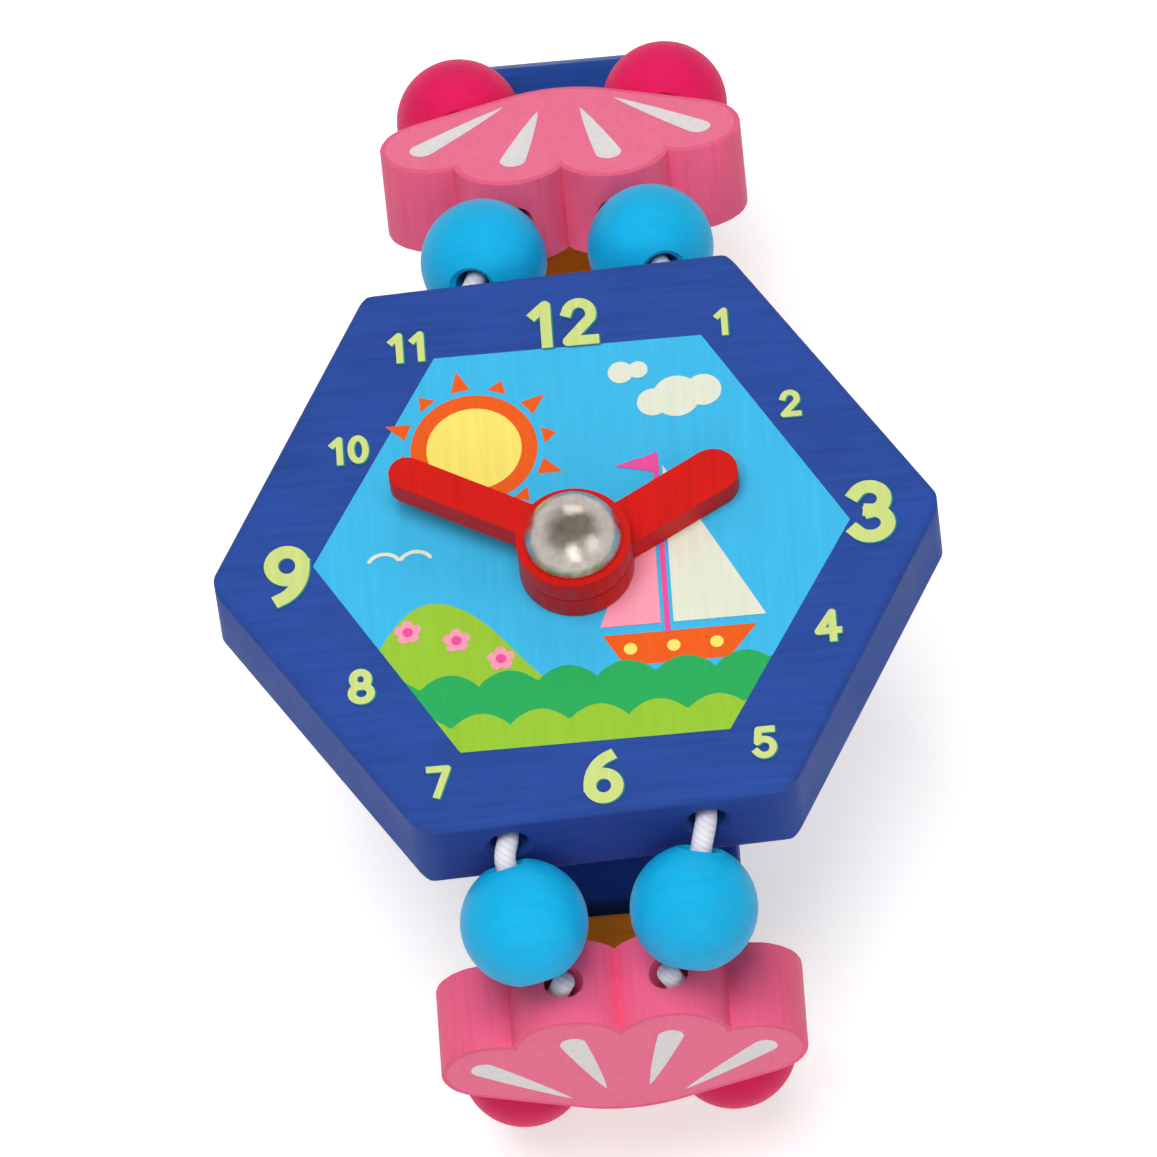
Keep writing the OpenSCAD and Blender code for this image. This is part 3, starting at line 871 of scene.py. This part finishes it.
def plain_rays(n):
    """1 for what the camera sees, directly or by gloss or glass."""
    path = n.nodes.new("ShaderNodeLightPath")
    total = path.outputs["Is Camera Ray"]
    for word in ("Is Glossy Ray", "Is Transmission Ray"):
        most = n.nodes.new("ShaderNodeMath")
        most.operation = "MAXIMUM"
        n.links.new(total, most.inputs[0])
        n.links.new(path.outputs[word], most.inputs[1])
        total = most.outputs[0]
    return total


def floor_material():
    """White floor that takes a shadow, lifted for what the camera sees."""
    n = Nodes("studio_floor")
    tone = n.ramp(n.noise(even(3.0), 2.0), [(0.3, (236, 236, 236)), (0.7, (240, 240, 240))])
    n.link(tone, n.bsdf.inputs["Base Color"])
    n.set("Roughness", 0.9)
    n.set("Specular IOR Level", 0.1)
    n.set("Emission Color", (1, 1, 1, 1))
    lift = n.tree.nodes.new("ShaderNodeMath")
    lift.operation = "MULTIPLY"
    lift.inputs[1].default_value = FLOOR_LIFT
    n.link(plain_rays(n.tree), lift.inputs[0])
    n.link(lift.outputs[0], n.bsdf.inputs["Emission Strength"])
    return n.mat


def studio_world():
    """A white room, darker overhead, that lights the part less than the camera sees."""
    world = bpy.data.worlds.new("studio")
    world.use_nodes = True
    tree = world.node_tree
    background = tree.nodes["Background"]
    direction = tree.nodes.new("ShaderNodeTexCoord")
    height = tree.nodes.new("ShaderNodeSeparateXYZ")
    room = tree.nodes.new("ShaderNodeValToRGB")
    for stop, (position, colour) in zip(room.color_ramp.elements, ROOM_STOPS):
        stop.position = position
        stop.color = linear(colour)
    tree.links.new(direction.outputs["Generated"], height.inputs["Vector"])
    tree.links.new(height.outputs["Z"], room.inputs["Fac"])
    tree.links.new(room.outputs["Color"], background.inputs["Color"])
    level = tree.nodes.new("ShaderNodeMapRange")
    level.inputs["To Min"].default_value = ROOM_LIGHT
    level.inputs["To Max"].default_value = 1.0
    tree.links.new(plain_rays(tree), level.inputs["Value"])
    tree.links.new(level.outputs["Result"], background.inputs["Strength"])
    return world


bm = bmesh.new()
bmesh.ops.create_grid(bm, x_segments=FLOOR_CELLS, y_segments=FLOOR_CELLS, size=FLOOR_HALF)
mesh = bpy.data.meshes.new("floor")
bm.to_mesh(mesh)
bm.free()
mesh.materials.append(floor_material())
floor = bpy.data.objects.new("floor", mesh)
floor.location = (0, 0, -FLOOR_DROP * MM)
scene.collection.objects.link(floor)
scene.world = studio_world()


# Lamps: direction from the dial, distance and size in metres, and power in watts
def area(name, direction, distance, size, watts):
    """A rectangular lamp that faces the dial."""
    lamp = bpy.data.lights.new(name, "AREA")
    lamp.shape = "RECTANGLE"
    lamp.size, lamp.size_y = size
    lamp.energy = watts
    o = bpy.data.objects.new(name, lamp)
    d = Vector(direction).normalized()
    o.location = FACE * MM + d * distance
    o.rotation_euler = (-d).to_track_quat("-Z", "Y").to_euler()
    scene.collection.objects.link(o)
    return o


key = area("key", (-0.12, -0.12, 1.0), 0.6, (0.40, 0.40), 3.0)
key.visible_glossy = False
area("near", (-0.03, -0.78, 0.62), 0.6, (0.20, 0.20), 0.36)
area("front", (0.05, -1.0, 0.40), 0.7, (0.30, 0.12), 0.24)
area("fill", (0.9, -0.6, 0.8), 0.7, (0.35, 0.35), 0.45)
area("rim", (0.1, 1.0, 0.9), 0.7, (0.40, 0.25), 0.5)

# Camera: right and up in the picture, pixels to the millimetre, and the pixel where the dial's middle lies
RIGHT = Vector((0.99568833, -0.05956634, -0.07110975))
UP = Vector((0.08820748, 0.84523196, 0.52706961))
TOWARD = RIGHT.cross(UP).normalized()
SCALE = 16.0037
PIXELS = 1157
DIAL_PIXEL = (574.99, 539.34)
DISTANCE = 1400
SENSOR = 36
CLIP_END = 10
middle = (FACE + RIGHT * ((PIXELS / 2 - DIAL_PIXEL[0]) / SCALE)
          + UP * ((DIAL_PIXEL[1] - PIXELS / 2) / SCALE))
camera = bpy.data.cameras.new("camera")
camera.sensor_fit = "HORIZONTAL"
camera.sensor_width = SENSOR
camera.lens = SENSOR * DISTANCE / (PIXELS / SCALE)
camera.clip_end = CLIP_END
camera_object = bpy.data.objects.new("camera", camera)
right = UP.cross(TOWARD).normalized()
turn = Matrix((right, TOWARD.cross(right), TOWARD)).transposed().to_4x4()
camera_object.matrix_world = Matrix.Translation((middle + TOWARD * DISTANCE) * MM) @ turn
scene.collection.objects.link(camera_object)
scene.camera = camera_object
